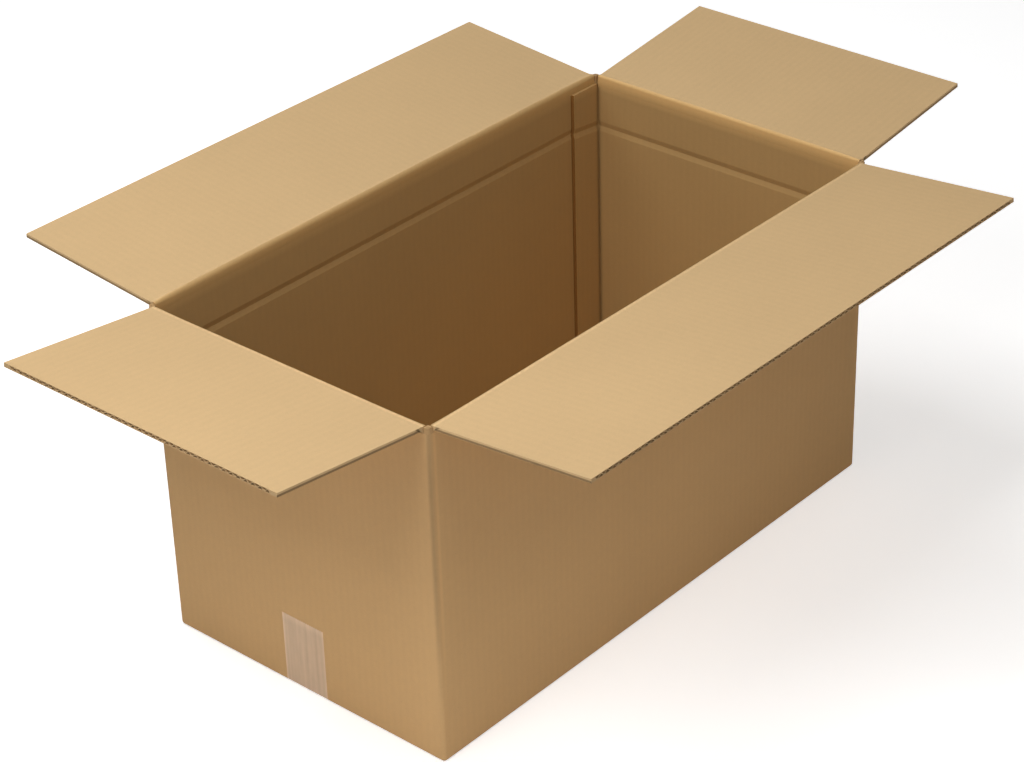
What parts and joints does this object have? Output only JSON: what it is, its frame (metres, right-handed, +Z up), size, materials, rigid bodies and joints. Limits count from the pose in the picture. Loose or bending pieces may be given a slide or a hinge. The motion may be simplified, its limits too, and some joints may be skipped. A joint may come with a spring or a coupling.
{
  "type": "cardboard box",
  "caption": "Open corrugated shipping box with outward top flaps that hinge from hanging to shut, a glued corner tab and a taped bottom.",
  "frame": {"origin": "middle of the base, on the surface that the box stands on", "axes": "+Z up, +X along the long walls towards the end with the glued tab, +Y across the box towards the back wall"},
  "size_m": [0.9322, 0.6536, 0.3546],
  "materials": {
    "kraft_board": "matt brown kraft liner on corrugated board",
    "tape": "clear polypropylene packing tape, satin"
  },
  "bodies": {
    "carton": {"carton_body": "kraft_board", "packing_tape": "tape"},
    "front_lid": {"front_flap": "kraft_board"},
    "back_lid": {"back_flap": "kraft_board"},
    "left_lid": {"left_end_flap": "kraft_board"},
    "right_lid": {"right_end_flap": "kraft_board"}
  },
  "joints": [
    {"name": "front_fold", "type": "hinge", "parent": "carton", "child": "front_lid", "pos_m": [0, -0.164, 0.3313], "axis": [-1, 0, 0], "range_deg": [-85.2, 174.8]},
    {"name": "back_fold", "type": "hinge", "parent": "carton", "child": "back_lid", "pos_m": [0, 0.164, 0.3313], "axis": [1, 0, 0], "range_deg": [-85.2, 174.8]},
    {"name": "left_fold", "type": "hinge", "parent": "carton", "child": "left_lid", "pos_m": [-0.304, 0, 0.32915], "axis": [0, 1, 0], "range_deg": [-86.8, 173.2]},
    {"name": "right_fold", "type": "hinge", "parent": "carton", "child": "right_lid", "pos_m": [0.304, 0, 0.32915], "axis": [0, -1, 0], "range_deg": [-86.8, 173.2]}
  ]
}
